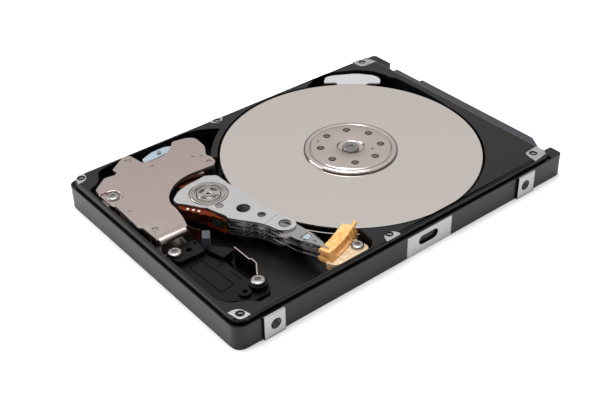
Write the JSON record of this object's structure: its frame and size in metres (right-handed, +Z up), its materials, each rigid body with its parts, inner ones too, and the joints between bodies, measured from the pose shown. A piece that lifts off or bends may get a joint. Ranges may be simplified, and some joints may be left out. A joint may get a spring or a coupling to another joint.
{
  "type": "opened hard disk drive",
  "caption": "Opened 2.5-inch hard disk drive: black cast base with mirrored platters, a swinging head actuator, voice-coil motor, ramp and edge connector.",
  "frame": {"origin": "under the middle of the base, on the plane the drive rests on, half way along its length with the connector", "axes": "+X across the drive towards the long side with the load ramp, +Y along it towards the edge connector, +Z up out of the open base"},
  "size_m": [0.0698, 0.1002, 0.0084],
  "materials": {
    "casting": "black electrocoat",
    "board": "solder mask",
    "epoxy": "moulded epoxy",
    "dark_plastic": "moulded",
    "connector_plastic": "moulded",
    "gold": "gold flash",
    "steel": "satin stainless",
    "platter": "mirror",
    "polished_steel": "polished",
    "nickel": "satin nickel plate",
    "magnet": "nickel plate",
    "machined_aluminium": "machined",
    "copper": "enamelled wire",
    "laminate": "stamped",
    "flex": "polyimide film",
    "amber_plastic": "moulded, slightly translucent",
    "white_plastic": "moulded",
    "filter": "nonwoven felt",
    "rubber": "moulded",
    "ceramic": "lapped"
  },
  "bodies": {
    "base": {"base_casting": "casting", "pcb": "board", "controller_chip": "epoxy", "cache_chip": "epoxy", "motor_driver_chip": "epoxy", "pcb_screw_1": "steel", "pcb_screw_2": "steel", "pcb_screw_3": "steel", "pcb_screw_4": "steel", "sata_connector": "connector_plastic", "signal_contacts": "gold", "power_contacts": "gold", "jumper_pins": "gold", "bearing_sleeve": "steel", "stator_core": "laminate", "stator_windings": "copper", "pivot_shaft": "steel", "vcm_bottom_yoke": "nickel", "vcm_top_yoke": "nickel", "vcm_bottom_magnet": "magnet", "vcm_top_magnet": "magnet", "yoke_post_1": "steel", "yoke_post_2": "steel", "yoke_screw_post": "steel", "yoke_screw": "steel", "crash_stop_outer": "rubber", "crash_stop_inner": "rubber", "latch_pin": "steel", "load_ramp": "amber_plastic", "ramp_screw": "steel", "recirculation_filter": "filter", "flex_bracket": "dark_plastic", "bracket_screw_1": "steel", "bracket_screw_2": "steel", "flex_clamp_block": "laminate", "flex_guide_strip": "steel", "flex_loop": "flex"},
    "disk_pack": {"spindle_shaft": "steel", "spindle_hub": "machined_aluminium", "rotor_magnet": "magnet", "lower_platter": "platter", "platter_spacer": "steel", "upper_platter": "platter", "disk_clamp": "polished_steel", "clamp_screw": "steel"},
    "actuator": {"pivot_sleeve": "steel", "e_block": "machined_aluminium", "voice_coil": "copper", "coil_overmold": "dark_plastic", "arm_flex": "flex", "preamp_chip": "epoxy", "suspension_1": "steel", "suspension_2": "steel", "suspension_3": "steel", "suspension_4": "steel", "slider_1": "ceramic", "slider_2": "ceramic", "slider_3": "ceramic", "slider_4": "ceramic"},
    "latch": {"inertia_latch": "white_plastic"}
  },
  "joints": [
    {"name": "spindle_spin", "type": "hinge", "parent": "base", "child": "disk_pack", "pos_m": [0.00025, 0.0103, 0], "axis": [0, 0, 1], "continuous": true},
    {"name": "actuator_swing", "type": "hinge", "parent": "base", "child": "actuator", "pos_m": [-0.0058, -0.0284, 0], "axis": [0, 0, 1], "range_deg": [0, 42], "deforming": ["flex_loop"]},
    {"name": "latch_swing", "type": "hinge", "parent": "base", "child": "latch", "pos_m": [-0.0302, -0.0265, 0], "axis": [0, 0, 1], "range_deg": [0, 8]}
  ]
}
